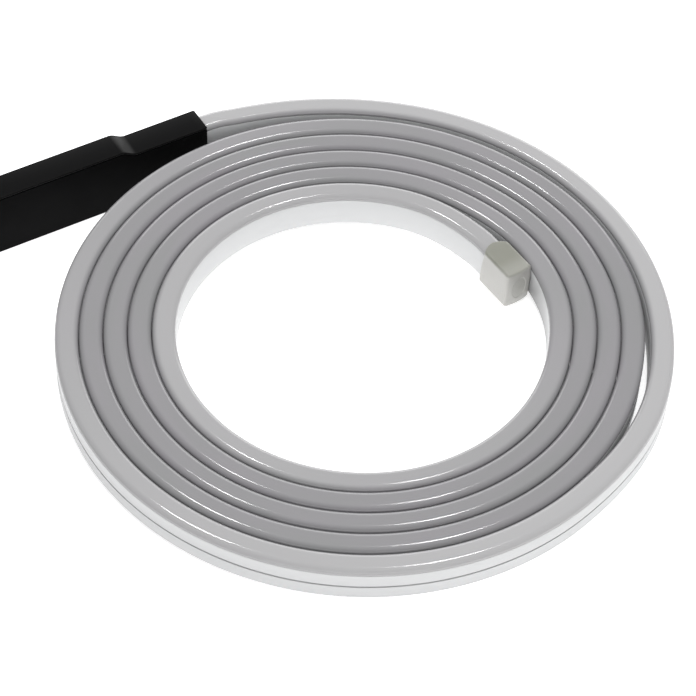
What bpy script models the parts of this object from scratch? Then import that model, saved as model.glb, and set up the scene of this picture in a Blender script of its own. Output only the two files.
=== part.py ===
"""Flat coil of LED neon flex with its end cap and its black power housing.

The strip stands on its narrow edge and is wound flat, 5 1/4 turns, from the capped inner end
counterclockwise outwards to the housing. The housing is taller than the strip and stands on the
floor, so it holds the coil's outer end up: the coil leans down from there and its far rim
touches the floor. Metres, +Z up. The origin is at the bottom centre of the whole part.
"""
import math

import bmesh
import bpy
import numpy as np
from mathutils import Matrix, Vector

# Clearances
FIT = 0.0003              # between pieces that touch
TURN_GAP = 0.0003         # between neighbouring turns

# Strip
STRIP_WIDTH = 0.012
STRIP_HEIGHT = 0.020
DIFFUSER_DEPTH = 0.003    # how far the diffuser wraps down the sides
TOP_RADIUS = 0.0028       # rounded upper corners
TOP_STEPS = 4             # flats round each of them
FOOT_RADIUS = 0.0007      # small radius of the lower corners
GROOVE_WIDTH = 0.0010
GROOVE_DEPTH = 0.0004
GROOVE_HEIGHT = 0.0085    # middle of the groove above the underside

# Coil
INNER_RADIUS = 0.0843     # bore, at the capped end of the strip
TURNS = 5.252
STEPS_PER_TURN = 40
EXIT_AZIMUTH = 122.9      # where the strip enters the housing, degrees
LOOSE_GAP = 0.0031        # the last part of the outer turn stands off by this
LOOSE_FROM = 165.0        # degrees before the housing where it starts to stand off
LOOSE_OVER = 28.0         # degrees that it takes
LIFT = 0.0050             # the strip straightens outwards by this at the housing
LIFT_OVER = 42.0          # degrees before the housing
TUCK = 0.00245            # the inner end leaves its neighbour by this, to make room for its cap
TUCK_FROM = 44.0          # degrees from the inner end where it starts to
TUCK_OVER = 38.0          # degrees that it takes
NUDGE_FLAT = 8.0          # the cap pushes the turns beside it outwards, fully over these degrees
NUDGE_FADE = 26.0         # and less over these degrees on either side of them
CAP_LEAN = 4.5            # the inner end springs outwards by this angle, degrees

# End cap
CAP_WALL = 0.0015         # at the strip's sides
CAP_ROOF = 0.0016         # above and below the strip
CAP_LENGTH = 0.0250
CAP_GRIP = 0.0130         # length of strip inside the cap
CAP_CORNER = 0.0022       # rounded corners of its section
CAP_ROUND = 0.0012        # rounded rims at both ends
CAP_AIR = 0.0002          # air between the cap and the next turn
DISH_WIDTH = 0.0090
DISH_HEIGHT = 0.0150
DISH_DEPTH = 0.0008
DISH_SIDES = 28

# Housing
HOUSING_YAW = 212.0       # direction from the strip's mouth to the far end, degrees
HOUSING_LENGTH = 0.150
HOUSING_WALL = 0.0018
THIN_LENGTH = 0.0419
THIN_HEIGHT = 0.0345
RAMP_LENGTH = 0.0098
RAMP_RISE = 0.0040
RAMP_STEPS = 8
LID_THICKNESS = 0.0013
LID_SEAM = 0.0004
LID_ROUND = 0.0005
BODY_ROUND = 0.0005
STRIP_BELOW_TOP = 0.0022  # the strip's top lies this far below the housing's top
HOUSING_GRIP = 0.014      # length of strip inside the housing

# Gland of the supply lead, in the far end of the housing
GLAND_HEIGHT = 0.020      # its axis above the floor
GLAND_RADIUS = 0.0045
GLAND_FLANGE = 0.0016
GLAND_LENGTH = 0.0090
GLAND_NECK = 0.0029
GLAND_TIP = 0.0030
GLAND_TAPER = 0.0006      # the sleeve is this much thicker at the flange
GLAND_HOLE = 0.0018
GLAND_HOLE_DEPTH = 0.0035
GLAND_SIDES = 24

# What follows from them
PITCH = STRIP_WIDTH + TURN_GAP
STEP = 360.0 / STEPS_PER_TURN
END_RADIUS = INNER_RADIUS + STRIP_WIDTH / 2
HOUSING_WIDTH = STRIP_WIDTH + 2 * (FIT + HOUSING_WALL)
CAP_WIDTH = STRIP_WIDTH + 2 * (FIT + CAP_WALL)
CAP_HEIGHT = STRIP_HEIGHT + 2 * (FIT + CAP_ROOF)
MOUTH_HEIGHT = THIN_HEIGHT - STRIP_BELOW_TOP - STRIP_HEIGHT / 2
FAR = 0.05                # cutters run this far past what they cut
WELD = 0.00002            # points nearer than this become one


def clear_scene():
    for thing in list(bpy.data.objects):
        bpy.data.objects.remove(thing, do_unlink=True)


def new_collection(name):
    collection = bpy.data.collections.new(name)
    bpy.context.scene.collection.children.link(collection)
    return collection


def finish(name, colour, roughness, transmission=0.0):
    """A Principled material."""
    material = bpy.data.materials.new(name)
    material.use_nodes = True
    shader = material.node_tree.nodes["Principled BSDF"]
    shader.inputs["Base Color"].default_value = (*colour, 1.0)
    shader.inputs["Roughness"].default_value = roughness
    shader.inputs["Metallic"].default_value = 0.0
    shader.inputs["Transmission Weight"].default_value = transmission
    return material


def smooth(t):
    """A soft step from 0 to 1."""
    t = np.clip(t, 0.0, 1.0)
    return t * t * (3 - 2 * t)


def cap_corner():
    """The cap's outer front corner: degrees past the strip's inner end, and its radius."""
    lean = math.radians(CAP_LEAN)
    ahead = CAP_LENGTH - CAP_GRIP
    half = CAP_WIDTH / 2
    out = END_RADIUS + ahead * math.sin(lean) + half * math.cos(lean)
    along = ahead * math.cos(lean) - half * math.sin(lean)
    return math.degrees(math.atan2(along, out)), math.hypot(out, along)


def nudge_height():
    """How far the cap pushes its neighbours outwards, for its corner to clear their flats."""
    angle, corner = cap_corner()
    next_turn = END_RADIUS + TUCK + STRIP_WIDTH / 2 + TURN_GAP - PITCH * angle / 360.0
    chord_bow = (END_RADIUS + PITCH) * (1 - math.cos(math.radians(STEP / 2)))
    return max(0.0, corner + CAP_AIR + chord_bow - next_turn)


def coil_radius(run):
    """Radius of the strip's centreline, where run is the angle wound since the inner end."""
    left = TURNS * 360.0 - run
    radius = END_RADIUS + TUCK + PITCH * run / 360.0
    radius = radius - TUCK * smooth((TUCK_FROM - run) / TUCK_OVER)
    from_nose = np.abs((run + cap_corner()[0] + 180.0) % 360.0 - 180.0)
    beside = (run > 180.0) & (left > LOOSE_FROM)
    nudge = smooth(1 - (from_nose - NUDGE_FLAT) / NUDGE_FADE)
    radius = radius + nudge_height() * nudge * beside
    radius = radius + LOOSE_GAP * smooth((LOOSE_FROM - left) / LOOSE_OVER)
    return radius + LIFT * np.clip(1 - left / LIFT_OVER, 0.0, 1.0) ** 2


def heading(degrees):
    angle = math.radians(degrees)
    return np.array([math.cos(angle), math.sin(angle)])


def cap_heading():
    """The direction in which the strip's inner end points."""
    return heading(EXIT_AZIMUTH - TURNS * 360.0 - 90.0 + CAP_LEAN)


def coil_points():
    """The strip's centreline in the coil's plane, from the inner end to the housing's mouth.

    The end that the cap grips is straight. The rest is a spiral with a point every few degrees,
    counted back from the mouth so that the flats of neighbouring turns lie side by side.
    """
    total = TURNS * 360.0
    straight = CAP_GRIP + CAP_WALL
    first = math.degrees(straight / END_RADIUS) + STEP / 3
    run = (total - np.arange(0.0, total - first, STEP))[::-1]
    azimuth = np.radians(EXIT_AZIMUTH - total + run)
    spiral = coil_radius(run)[:, None] * np.stack([np.cos(azimuth), np.sin(azimuth)], axis=1)
    end = END_RADIUS * heading(EXIT_AZIMUTH - total)
    return np.vstack([end, end - straight * cap_heading(), spiral])


def strip_points():
    """The coil's centreline with the straight end that the housing grips."""
    coil = coil_points()
    inside = coil[-1] + HOUSING_GRIP * heading(HOUSING_YAW)
    return np.vstack([coil, inside])


def coil_tilt():
    """The angle by which the coil leans, so that its far rim just touches the floor."""
    points = coil_points()
    across = heading(HOUSING_YAW + 90.0)
    reach = (points @ across).max() + STRIP_WIDTH / 2 - points[-1] @ across
    span = math.hypot(reach, STRIP_HEIGHT / 2)
    return math.asin(MOUTH_HEIGHT / span) - math.atan2(STRIP_HEIGHT / 2, reach)


def arc(centre, radius, start, end, steps):
    angles = np.radians(np.linspace(start, end, steps + 1))
    return [(centre[0] + radius * math.cos(a), centre[1] + radius * math.sin(a)) for a in angles]


def jacket_section():
    """Outline of the white jacket, with the groove on the side that faces out of the coil."""
    half = STRIP_WIDTH / 2
    foot = -STRIP_HEIGHT / 2
    top = STRIP_HEIGHT / 2 - DIFFUSER_DEPTH - FIT
    groove = foot + GROOVE_HEIGHT
    points = [(half, foot + FOOT_RADIUS), (half, groove - GROOVE_WIDTH / 2)]
    points += [(half - GROOVE_DEPTH, groove - GROOVE_WIDTH / 4)]
    points += [(half - GROOVE_DEPTH, groove + GROOVE_WIDTH / 4)]
    points += [(half, groove + GROOVE_WIDTH / 2), (half, top), (-half, top)]
    points += [(-half, foot + FOOT_RADIUS), (-half + FOOT_RADIUS, foot), (half - FOOT_RADIUS, foot)]
    return points


def diffuser_section():
    """Outline of the diffuser on top, with its two rounded corners."""
    half = STRIP_WIDTH / 2
    top = STRIP_HEIGHT / 2
    low = top - DIFFUSER_DEPTH
    middle = half - TOP_RADIUS
    points = [(-half, low), (half, low)]
    points += arc((middle, top - TOP_RADIUS), TOP_RADIUS, 0, 90, TOP_STEPS)
    return points + arc((-middle, top - TOP_RADIUS), TOP_RADIUS, 90, 180, TOP_STEPS)


def outline_curve(name, points, collection):
    """A closed flat curve."""
    data = bpy.data.curves.new(name, "CURVE")
    data.dimensions = "2D"
    data.fill_mode = "BOTH"
    spline = data.splines.new("POLY")
    spline.points.add(len(points) - 1)
    for point, (x, y) in zip(spline.points, points):
        point.co = (x, y, 0.0, 1.0)
    spline.use_cyclic_u = True
    curve = bpy.data.objects.new(name, data)
    collection.objects.link(curve)
    return curve


def hide(guide):
    guide.hide_render = True
    guide.display_type = "WIRE"


def curve_to_mesh(curve, collection, material):
    """The mesh of a curve, with its caps welded on, in place of the curve."""
    name = curve.name
    curve.name = name + "_curve"
    graph = bpy.context.evaluated_depsgraph_get()
    data = bpy.data.meshes.new_from_object(curve.evaluated_get(graph))
    data.name = name
    shape = bmesh.new()
    shape.from_mesh(data)
    bmesh.ops.remove_doubles(shape, verts=shape.verts, dist=WELD)
    bmesh.ops.recalc_face_normals(shape, faces=shape.faces)
    shape.to_mesh(data)
    shape.free()
    data.materials.clear()
    data.materials.append(material)
    thing = bpy.data.objects.new(name, data)
    thing.matrix_world = curve.matrix_world
    collection.objects.link(thing)
    bpy.data.objects.remove(curve, do_unlink=True)
    return thing


def swept_strip(name, section, material, parts, cutters):
    """The section carried along the coil, upright, turning level again towards the housing."""
    profile = outline_curve(name + "_section", section, cutters)
    profile.data.fill_mode = "NONE"
    hide(profile)
    points = strip_points()
    data = bpy.data.curves.new(name, "CURVE")
    data.dimensions = "3D"
    data.twist_mode = "Z_UP"
    data.bevel_mode = "OBJECT"
    data.bevel_object = profile
    data.use_fill_caps = True
    spline = data.splines.new("POLY")
    spline.points.add(len(points) - 1)
    left = STEP * np.arange(len(points) - 2, -2, -1)
    tilt = coil_tilt() * smooth(1 - left / LIFT_OVER)
    for point, (x, y), turn in zip(spline.points, points, tilt):
        point.co = (x, y, 0.0, 1.0)
        point.tilt = turn
    curve = bpy.data.objects.new(name, data)
    parts.objects.link(curve)
    strip = curve_to_mesh(curve, parts, material)
    strip.data.shade_smooth()
    strip.data.set_sharp_from_angle(angle=math.radians(40))
    return strip


def cut(thing, cutter):
    hide(cutter)
    step = thing.modifiers.new("cut", "BOOLEAN")
    step.operation = "DIFFERENCE"
    step.solver = "EXACT"
    step.object = cutter


def round_edges(thing, width, segments, angle=50.0):
    step = thing.modifiers.new("round", "BEVEL")
    step.width = width
    step.segments = segments
    step.limit_method = "ANGLE"
    step.angle_limit = math.radians(angle)


def move_to(thing, collection):
    for home in thing.users_collection:
        home.objects.unlink(thing)
    collection.objects.link(thing)


def box(name, size, centre, collection):
    """A box of a size around a centre, with the size in its mesh."""
    bpy.ops.mesh.primitive_cube_add(size=1.0)
    thing = bpy.context.active_object
    thing.name = name
    thing.data.transform(Matrix.Translation(Vector(centre)) @ Matrix.Diagonal((*size, 1.0)))
    move_to(thing, collection)
    return thing


def place(thing, parent, location=(0.0, 0.0, 0.0), turn=0.0):
    thing.parent = parent
    thing.location = location
    thing.rotation_euler = (0.0, 0.0, turn)


def cap_section():
    """Outline of the cap's section, a rectangle with round corners."""
    side = CAP_WIDTH / 2 - CAP_CORNER
    end = CAP_HEIGHT / 2 - CAP_CORNER
    points = []
    for x, y, start in ((side, end, 0), (-side, end, 90), (-side, -end, 180), (side, -end, 270)):
        points += arc((x, y), CAP_CORNER, start, start + 90, 4)
    return points


def lay_along_x(thing, middle):
    """Turn a piece that was made along Z, its width on X, to lie along X with its height on Z."""
    axes = Matrix(((0, 0, 1, middle), (1, 0, 0, 0), (0, 1, 0, 0), (0, 0, 0, 1)))
    thing.data.transform(axes)


def make_end_cap(parts, cutters, material):
    """The moulded cap, with its pocket for the strip and a dish in its face. X runs outwards."""
    curve = outline_curve("end_cap", cap_section(), parts)
    curve.data.extrude = CAP_LENGTH / 2
    cap = curve_to_mesh(curve, parts, material)
    lay_along_x(cap, CAP_LENGTH / 2 - CAP_GRIP)
    round_edges(cap, CAP_ROUND, 2, 60.0)
    size = (CAP_GRIP + FIT + FAR, STRIP_WIDTH + 2 * FIT, STRIP_HEIGHT + 2 * FIT)
    pocket = box("cap_pocket", size, (FIT - size[0] / 2, 0, 0), cutters)
    cut(cap, pocket)
    bpy.ops.mesh.primitive_cylinder_add(vertices=DISH_SIDES, radius=0.5, depth=1.0)
    dish = bpy.context.active_object
    dish.name = "cap_dish"
    dish.data.transform(Matrix.Diagonal((DISH_WIDTH, DISH_HEIGHT, 2 * DISH_DEPTH, 1.0)))
    lay_along_x(dish, CAP_LENGTH - CAP_GRIP)
    move_to(dish, cutters)
    cut(cap, dish)
    return cap, [pocket, dish]


def housing_top(depth=0.0):
    """The housing's upper outline from the thin end to the far end, lowered by a depth."""
    along = THIN_LENGTH + RAMP_LENGTH * np.linspace(0, 1, RAMP_STEPS + 1)
    rise = RAMP_RISE * (1 - np.cos(math.pi * np.linspace(0, 1, RAMP_STEPS + 1))) / 2
    ramp = [(x, THIN_HEIGHT + z - depth) for x, z in zip(along, rise)]
    return [(0.0, ramp[0][1])] + ramp + [(HOUSING_LENGTH, ramp[-1][1])]


def upright_plate(name, points, width, parts, material):
    """A flat outline in the upright X Z plane, extruded to a width across it."""
    curve = outline_curve(name, points, parts)
    curve.data.extrude = width / 2
    curve.rotation_euler = (math.radians(90), 0, 0)
    bpy.context.view_layer.update()
    plate = curve_to_mesh(curve, parts, material)
    plate.data.transform(plate.matrix_world)
    plate.matrix_world = Matrix.Identity(4)
    return plate


def make_housing_body(parts, cutters, material):
    """The tray: outer walls, a ledge under the strip's end, an open top for the lid."""
    top = housing_top(LID_THICKNESS + LID_SEAM)
    outline = [(HOUSING_LENGTH, 0.0), (0.0, 0.0)] + top
    body = upright_plate("housing_body", outline, HOUSING_WIDTH, parts, material)
    round_edges(body, BODY_ROUND, 2, 60.0)
    size = {"radius": GLAND_NECK + FIT, "depth": 4 * HOUSING_WALL}
    bpy.ops.mesh.primitive_cylinder_add(vertices=GLAND_SIDES, **size)
    bore = bpy.context.active_object
    bore.name = "gland_bore"
    turn = Matrix.Rotation(math.radians(90), 4, "Y")
    bore.data.transform(Matrix.Translation((HOUSING_LENGTH, 0, GLAND_HEIGHT)) @ turn)
    move_to(bore, cutters)
    cut(body, bore)
    ledge_top = MOUTH_HEIGHT - STRIP_HEIGHT / 2 - FIT
    ledge_end = HOUSING_GRIP + 2 * HOUSING_WALL
    inner_end = HOUSING_LENGTH - HOUSING_WALL
    hollow = [(-FAR, ledge_top), (ledge_end, ledge_top), (ledge_end, HOUSING_WALL)]
    hollow += [(inner_end, HOUSING_WALL), (inner_end, THIN_HEIGHT + FAR), (-FAR, THIN_HEIGHT + FAR)]
    inside = upright_plate("housing_hollow", hollow, STRIP_WIDTH + 2 * FIT, cutters, material)
    cut(body, inside)
    return body, [inside, bore]


def make_housing_lid(parts, material):
    """The lid: one plate that follows the upper outline, its edges softly rounded."""
    outline = housing_top() + housing_top(LID_THICKNESS)[::-1]
    lid = upright_plate("housing_lid", outline, HOUSING_WIDTH, parts, material)
    round_edges(lid, LID_ROUND, 2, 60.0)
    return lid


def make_power_gland(parts, material):
    """A turned rubber gland: neck in the wall, flange outside, short sleeve with a blind hole."""
    points = [(-HOUSING_WALL, 0), (-HOUSING_WALL, GLAND_NECK), (FIT, GLAND_NECK)]
    points += [(FIT, GLAND_RADIUS), (FIT + GLAND_FLANGE, GLAND_RADIUS)]
    points += [(FIT + GLAND_FLANGE, GLAND_TIP + GLAND_TAPER), (GLAND_LENGTH, GLAND_TIP)]
    points += [(GLAND_LENGTH, GLAND_HOLE), (GLAND_LENGTH - GLAND_HOLE_DEPTH, GLAND_HOLE)]
    points += [(GLAND_LENGTH - GLAND_HOLE_DEPTH, 0)]
    data = bpy.data.meshes.new("power_gland")
    shape = bmesh.new()
    rim = [shape.verts.new((radius, 0, -along)) for along, radius in points]
    for first, second in zip(rim[:-1], rim[1:]):
        shape.edges.new((first, second))
    shape.to_mesh(data)
    shape.free()
    data.transform(Matrix.Rotation(math.radians(180), 4, "X"))
    data.materials.append(material)
    gland = bpy.data.objects.new("power_gland", data)
    parts.objects.link(gland)
    turn = gland.modifiers.new("turn", "SCREW")
    turn.steps = GLAND_SIDES
    turn.render_steps = GLAND_SIDES
    turn.use_merge_vertices = True
    turn.merge_threshold = WELD
    turn.use_normal_calculate = True
    turn.use_normal_flip = True
    return gland


def lowest_and_highest(things):
    """The world box of some objects as the viewport shows them."""
    graph = bpy.context.evaluated_depsgraph_get()
    corners = []
    for thing in things:
        shown = thing.evaluated_get(graph)
        mesh = shown.to_mesh()
        count = len(mesh.vertices)
        local = np.empty(count * 3)
        mesh.vertices.foreach_get("co", local)
        matrix = np.array(shown.matrix_world)
        world = local.reshape(count, 3) @ matrix[:3, :3].T + matrix[:3, 3]
        corners += [world.min(axis=0), world.max(axis=0)]
        shown.to_mesh_clear()
    return np.min(corners, axis=0), np.max(corners, axis=0)


def main():
    clear_scene()
    parts = new_collection("led_neon_flex")
    cutters = new_collection("cutters")
    white = finish("white_silicone", (0.80, 0.81, 0.82), 0.45)
    milky = finish("milky_diffuser", (0.40, 0.39, 0.39), 0.35)
    clear = finish("frosted_cap", (0.62, 0.62, 0.58), 0.35, 0.2)
    black = finish("black_plastic", (0.012, 0.012, 0.012), 0.45)
    rubber = finish("black_rubber", (0.015, 0.015, 0.015), 0.7)

    root = bpy.data.objects.new("root", None)
    coil_plane = bpy.data.objects.new("coil_plane", None)
    housing = bpy.data.objects.new("housing", None)
    for empty in (root, coil_plane, housing):
        parts.objects.link(empty)
    coil_plane.parent = root
    housing.parent = root

    jacket = swept_strip("jacket", jacket_section(), white, parts, cutters)
    diffuser = swept_strip("diffuser", diffuser_section(), milky, parts, cutters)
    place(jacket, coil_plane)
    place(diffuser, coil_plane)

    points = coil_points()
    ahead = cap_heading()
    cap, cap_tools = make_end_cap(parts, cutters, clear)
    for thing in [cap] + cap_tools:
        place(thing, coil_plane, (*points[0], 0.0), math.atan2(ahead[1], ahead[0]))

    body, body_tools = make_housing_body(parts, cutters, black)
    lid = make_housing_lid(parts, black)
    gland = make_power_gland(parts, rubber)
    for thing in [body, lid] + body_tools:
        place(thing, housing)
    gland.parent = housing
    gland.location = (HOUSING_LENGTH, 0.0, GLAND_HEIGHT)
    gland.rotation_euler = (0.0, math.radians(90), 0.0)

    exit_point = Vector((*points[-1], 0.0))
    axis = Vector((*heading(HOUSING_YAW + 180.0), 0.0))
    lean = Matrix.Rotation(coil_tilt(), 4, axis)
    mouth = Vector((*points[-1], MOUTH_HEIGHT))
    coil_plane.matrix_local = Matrix.Translation(mouth) @ lean @ Matrix.Translation(-exit_point)
    housing.location = (*points[-1], 0.0)
    housing.rotation_euler = (0.0, 0.0, math.radians(HOUSING_YAW))

    bpy.context.view_layer.update()
    low, high = lowest_and_highest([jacket, diffuser, cap, body, lid, gland])
    middle = (low + high) / 2
    root.location = (-middle[0], -middle[1], -low[2])
    bpy.context.view_layer.update()


main()
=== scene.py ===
# %% [markdown]
# # LED neon flex, coiled flat
#
# The object is about four metres of silicone light strip wound on edge into a flat coil. A white
# jacket carries a milky diffuser on top, a translucent cap closes the inner end, and a slim black
# housing feeds the outer end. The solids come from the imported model. This script makes the fine
# surfaces and the finishes, cell by cell, with numpy for the shapes and nodes for the materials.

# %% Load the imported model
import math

import bpy
import numpy as np
from mathutils import Matrix, Vector


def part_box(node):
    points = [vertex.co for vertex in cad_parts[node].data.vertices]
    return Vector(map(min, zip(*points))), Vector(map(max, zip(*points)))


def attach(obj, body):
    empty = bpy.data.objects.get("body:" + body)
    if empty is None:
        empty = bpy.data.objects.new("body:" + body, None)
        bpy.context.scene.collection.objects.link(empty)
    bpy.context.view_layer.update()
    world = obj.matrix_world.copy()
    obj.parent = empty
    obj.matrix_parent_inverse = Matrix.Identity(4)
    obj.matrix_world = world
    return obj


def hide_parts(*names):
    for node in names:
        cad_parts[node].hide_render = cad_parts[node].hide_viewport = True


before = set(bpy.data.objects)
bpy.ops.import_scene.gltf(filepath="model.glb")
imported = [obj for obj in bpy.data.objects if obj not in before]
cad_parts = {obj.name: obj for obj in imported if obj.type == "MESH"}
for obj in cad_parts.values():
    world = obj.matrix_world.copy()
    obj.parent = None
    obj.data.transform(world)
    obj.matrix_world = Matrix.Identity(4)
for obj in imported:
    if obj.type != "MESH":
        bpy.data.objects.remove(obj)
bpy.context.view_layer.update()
print("nodes:", sorted(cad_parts))

# %% [markdown]
# ## Sizes
#
# The strip is a standard section, 12 mm wide and 20 mm tall. The sizes here and in the later cells
# repeat those that the solids were made with, because the fine surfaces have to lie where the
# solids are. Lengths are in metres, by way of MM, and named angles are in degrees.

# %% Sizes of the strip, the coil and its cap
MM = 0.001
FIT = 0.3 * MM
STRIP_WIDTH = 12 * MM
STRIP_HEIGHT = 20 * MM
TURN_GAP = 0.3 * MM
PITCH = STRIP_WIDTH + TURN_GAP

INNER_RADIUS = 84.3 * MM
TURNS = 5.252
EXIT_AZIMUTH = 122.9
LOOSE_GAP = 3.1 * MM
LOOSE_FROM = 165.0
LOOSE_OVER = 28.0
LIFT = 5.0 * MM
LIFT_OVER = 42.0
TUCK = 2.45 * MM
TUCK_FROM = 44.0
TUCK_OVER = 38.0
NUDGE_FLAT = 8.0
NUDGE_FADE = 26.0
END_RADIUS = INNER_RADIUS + STRIP_WIDTH / 2

CAP_LEAN = 4.5
CAP_WALL = 1.5 * MM
CAP_LENGTH = 25.0 * MM
CAP_GRIP = 13.0 * MM
CAP_AIR = 0.2 * MM
CAP_WIDTH = STRIP_WIDTH + 2 * (FIT + CAP_WALL)
print("pitch of the turns in mm:", round(PITCH / MM, 2))

# %% [markdown]
# ## The coil's path
#
# A flat coil of even strip is an Archimedean spiral: the radius grows by one pitch a turn. Four
# things bend it away from that. The inner end tucks in to make room for its fat cap, the cap
# nudges the turns beside it outwards, the last half turn springs off the others by a few
# millimetres, and the strip straightens on its way into the housing. Each is one soft term added
# to the radius, so the path stays a formula.

# %% The centreline as a formula
def smooth(t):
    """A soft step from 0 to 1: three t squared less two t cubed, held flat outside."""
    t = np.clip(t, 0.0, 1.0)
    return t * t * (3 - 2 * t)


def heading(degrees):
    """The unit vector in the coil's plane at an angle from +X."""
    angle = np.radians(degrees)
    return np.stack([np.cos(angle), np.sin(angle)], axis=-1)


SOLID_STEP = 9.0
lean_out = math.radians(CAP_LEAN)
nose = CAP_LENGTH - CAP_GRIP
corner_out = END_RADIUS + nose * math.sin(lean_out) + CAP_WIDTH / 2 * math.cos(lean_out)
corner_along = nose * math.cos(lean_out) - CAP_WIDTH / 2 * math.sin(lean_out)
corner_angle = math.degrees(math.atan2(corner_along, corner_out))
next_turn = END_RADIUS + TUCK + STRIP_WIDTH / 2 + FIT - PITCH * corner_angle / 360.0
chord_bow = (END_RADIUS + PITCH) * (1 - math.cos(math.radians(SOLID_STEP / 2)))
nudge_height = math.hypot(corner_out, corner_along) + CAP_AIR + chord_bow - next_turn


def coil_radius(run):
    """Radius at an angle wound since the inner end: one pitch a turn plus four soft terms."""
    left = TURNS * 360.0 - run
    radius = END_RADIUS + TUCK + PITCH * run / 360.0
    radius = radius - TUCK * smooth((TUCK_FROM - run) / TUCK_OVER)
    from_nose = np.abs((run + corner_angle + 180.0) % 360.0 - 180.0)
    beside = (run > 180.0) & (left > LOOSE_FROM)
    radius = radius + nudge_height * smooth(1 - (from_nose - NUDGE_FLAT) / NUDGE_FADE) * beside
    radius = radius + LOOSE_GAP * smooth((LOOSE_FROM - left) / LOOSE_OVER)
    return radius + LIFT * np.clip(1 - left / LIFT_OVER, 0.0, 1.0) ** 2


TOTAL_RUN = TURNS * 360.0
START_AZIMUTH = EXIT_AZIMUTH - TOTAL_RUN
cap_way = heading(START_AZIMUTH - 90.0 + CAP_LEAN)
inner_end = END_RADIUS * heading(START_AZIMUTH)
exit_point = coil_radius(np.array([TOTAL_RUN]))[0] * heading(EXIT_AZIMUTH)
print("nudge in mm:", round(nudge_height / MM, 2), "exit in mm:", (exit_point / MM).round(1))

# %% [markdown]
# ## Where the coil's plane lies
#
# The housing is taller than the strip, so the strip's outer end is held above the floor and the
# coil leans down from there until its far rim touches. The lean follows from those two heights.
# The coil is modelled flat and one matrix leans the finished points.

# %% The matrix from the coil's plane to the model's frame
HOUSING_YAW = 212.0
HOUSING_LENGTH = 150 * MM
THIN_HEIGHT = 34.5 * MM
STRIP_BELOW_TOP = 2.2 * MM
MOUTH_HEIGHT = THIN_HEIGHT - STRIP_BELOW_TOP - STRIP_HEIGHT / 2
LEAN_STEP = 0.5


def coil_lean():
    """The lean: the angle whose drop over the coil's reach brings the far lower rim to the floor."""
    across = heading(HOUSING_YAW + 90.0)
    run = np.arange(0.0, TOTAL_RUN, LEAN_STEP)
    points = coil_radius(run)[:, None] * heading(START_AZIMUTH + run)
    reach = (points @ across).max() + STRIP_WIDTH / 2 - exit_point @ across
    span = math.hypot(reach, STRIP_HEIGHT / 2)
    return math.asin(MOUTH_HEIGHT / span) - math.atan2(STRIP_HEIGHT / 2, reach)


body_low, body_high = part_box("housing_body")
housing_way = heading(HOUSING_YAW)
mouth = np.array((body_low + body_high) / 2)[:2] - HOUSING_LENGTH / 2 * housing_way
lean = coil_lean()
lean_turn = Matrix.Rotation(lean, 4, Vector((*-housing_way, 0.0)))
coil_plane = (
    Matrix.Translation((*mouth, MOUTH_HEIGHT)) @ lean_turn @ Matrix.Translation((*-exit_point, 0.0))
)
housing_turn = Matrix.Rotation(math.radians(HOUSING_YAW), 4, "Z")
housing_place = Matrix.Translation((*mouth, 0.0)) @ housing_turn
print("lean in degrees:", round(math.degrees(lean), 3))

# %% [markdown]
# ## Camera
#
# The camera stands where the photograph was taken from: a long lens, about 49 degrees above the
# coil. It is set up against the coil's own plane, because that is what the turns in the picture
# measure, and the coil's matrix carries it along with the lean. The picture's size and the place
# of the coil's middle in it are in pixels.

# %% The camera
PICTURE = 696
LENS = 131.5
SENSOR = 36.0
CAMERA_RISE = 49.28
CAMERA_AWAY = 1289.7 * MM
CAMERA_ROLL = 2.951
COIL_MIDDLE_AT = (356.76, 322.53)
FARTHEST_SEEN = 20.0

focal = LENS / SENSOR * PICTURE
rise = math.radians(CAMERA_RISE)
roll = math.radians(CAMERA_ROLL)
ahead = np.array([0.0, math.cos(rise), -math.sin(rise)])
right = np.array([1.0, 0.0, 0.0])
up = np.cross(right, ahead)
rolled_right = math.cos(roll) * right + math.sin(roll) * up
rolled_up = math.cos(roll) * up - math.sin(roll) * right
to_middle = ahead + (COIL_MIDDLE_AT[0] - PICTURE / 2) / focal * rolled_right
to_middle = to_middle - (COIL_MIDDLE_AT[1] - PICTURE / 2) / focal * rolled_up
place = -to_middle * CAMERA_AWAY + np.array([0.0, 0.0, STRIP_HEIGHT / 2])
pose = Matrix.Identity(4)
for column, axis in enumerate((rolled_right, rolled_up, -ahead, place)):
    for row in range(3):
        pose[row][column] = axis[row]

camera = bpy.data.objects.new("camera", bpy.data.cameras.new("camera"))
bpy.context.scene.collection.objects.link(camera)
camera.data.lens = LENS
camera.data.sensor_width = SENSOR
camera.data.clip_end = FARTHEST_SEEN
camera.matrix_world = coil_plane @ pose
bpy.context.scene.camera = camera
print("camera at:", tuple(round(x, 3) for x in camera.matrix_world.translation))

# %% [markdown]
# ## From grids to surfaces
#
# Every new piece here is a grid of points: rows run along the piece and columns run round it. One
# helper turns such a grid into a closed mesh, so each piece only has to say where its points are.
# A curve with a bevel would sweep a profile too, but a grid keeps hold of every point, so it can
# also carry values for the finishes.

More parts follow.
